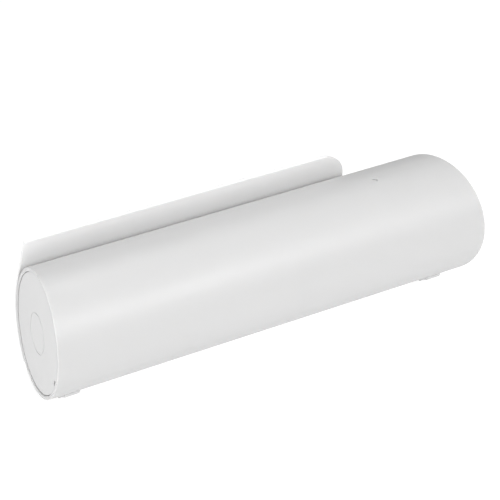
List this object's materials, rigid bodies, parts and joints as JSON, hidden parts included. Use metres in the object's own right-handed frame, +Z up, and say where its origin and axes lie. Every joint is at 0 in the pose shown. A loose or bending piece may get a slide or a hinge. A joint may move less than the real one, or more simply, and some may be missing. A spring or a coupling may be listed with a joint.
{
  "type": "fire blanket in wall case",
  "caption": "Tube-shaped wall case with a full-length hinged back door, a raised grip lip, press-in end plugs and a folded glass-cloth fire blanket inside.",
  "frame": {"origin": "middle of the case's box in X and Y, at the level of the foot pads", "axes": "+X along the tube towards the end where the grip lip stops short, +Y from the tube's front to its door side, +Z up from the feet, which is away from the wall once the case is hung"},
  "size_m": [0.3406, 0.0866, 0.0994],
  "materials": {
    "white_case": "satin white moulded plastic",
    "end_plug": "fine matt white moulded plastic",
    "nylon": "natural white nylon",
    "steel": "zinc-plated steel",
    "rubber_pad": "light grey soft rubber",
    "glass_cloth": "off-white woven glass fibre",
    "webbing": "black woven webbing"
  },
  "bodies": {
    "case": {"tube_shell": "white_case", "foot_left": "white_case", "foot_right": "white_case", "foot_pad_left": "rubber_pad", "foot_pad_right": "rubber_pad", "foot_screw_left_back": "steel", "foot_screw_left_front": "steel", "foot_screw_right_back": "steel", "foot_screw_right_front": "steel", "hinge_bracket_left": "nylon", "hinge_bracket_middle": "nylon", "hinge_bracket_right": "nylon", "hinge_pin_left": "steel", "hinge_pin_middle": "steel", "hinge_pin_right": "steel", "hinge_rivet_1": "steel", "hinge_rivet_2": "steel", "hinge_rivet_3": "steel", "hinge_rivet_4": "steel", "hinge_rivet_5": "steel", "hinge_rivet_6": "steel", "catch_left": "nylon", "catch_right": "nylon"},
    "door": {"door_shell": "white_case"},
    "blanket": {"blanket_pack": "glass_cloth", "pull_tab_left": "webbing", "pull_tab_right": "webbing"},
    "plug_left": {"end_plug_left": "end_plug"},
    "plug_right": {"end_plug_right": "end_plug"}
  },
  "joints": [
    {"name": "door_hinge", "type": "hinge", "parent": "case", "child": "door", "pos_m": [0, 0.02476, 0.00841], "axis": [-1, 0, 0], "range_deg": [0, 70]},
    {"name": "blanket_slide", "type": "slide", "parent": "case", "child": "blanket", "axis": [0, 0.9483, -0.3173], "range_m": [0, 0.0312]},
    {"name": "plug_left_pull", "type": "slide", "parent": "case", "child": "plug_left", "axis": [-1, 0, 0], "range_m": [0, 0.012]},
    {"name": "plug_right_pull", "type": "slide", "parent": "case", "child": "plug_right", "axis": [1, 0, 0], "range_m": [0, 0.012]}
  ],
  "couplings": [
    {"joint": "blanket_slide", "follows": "door_hinge", "m_per_rad": 0.0255}
  ]
}
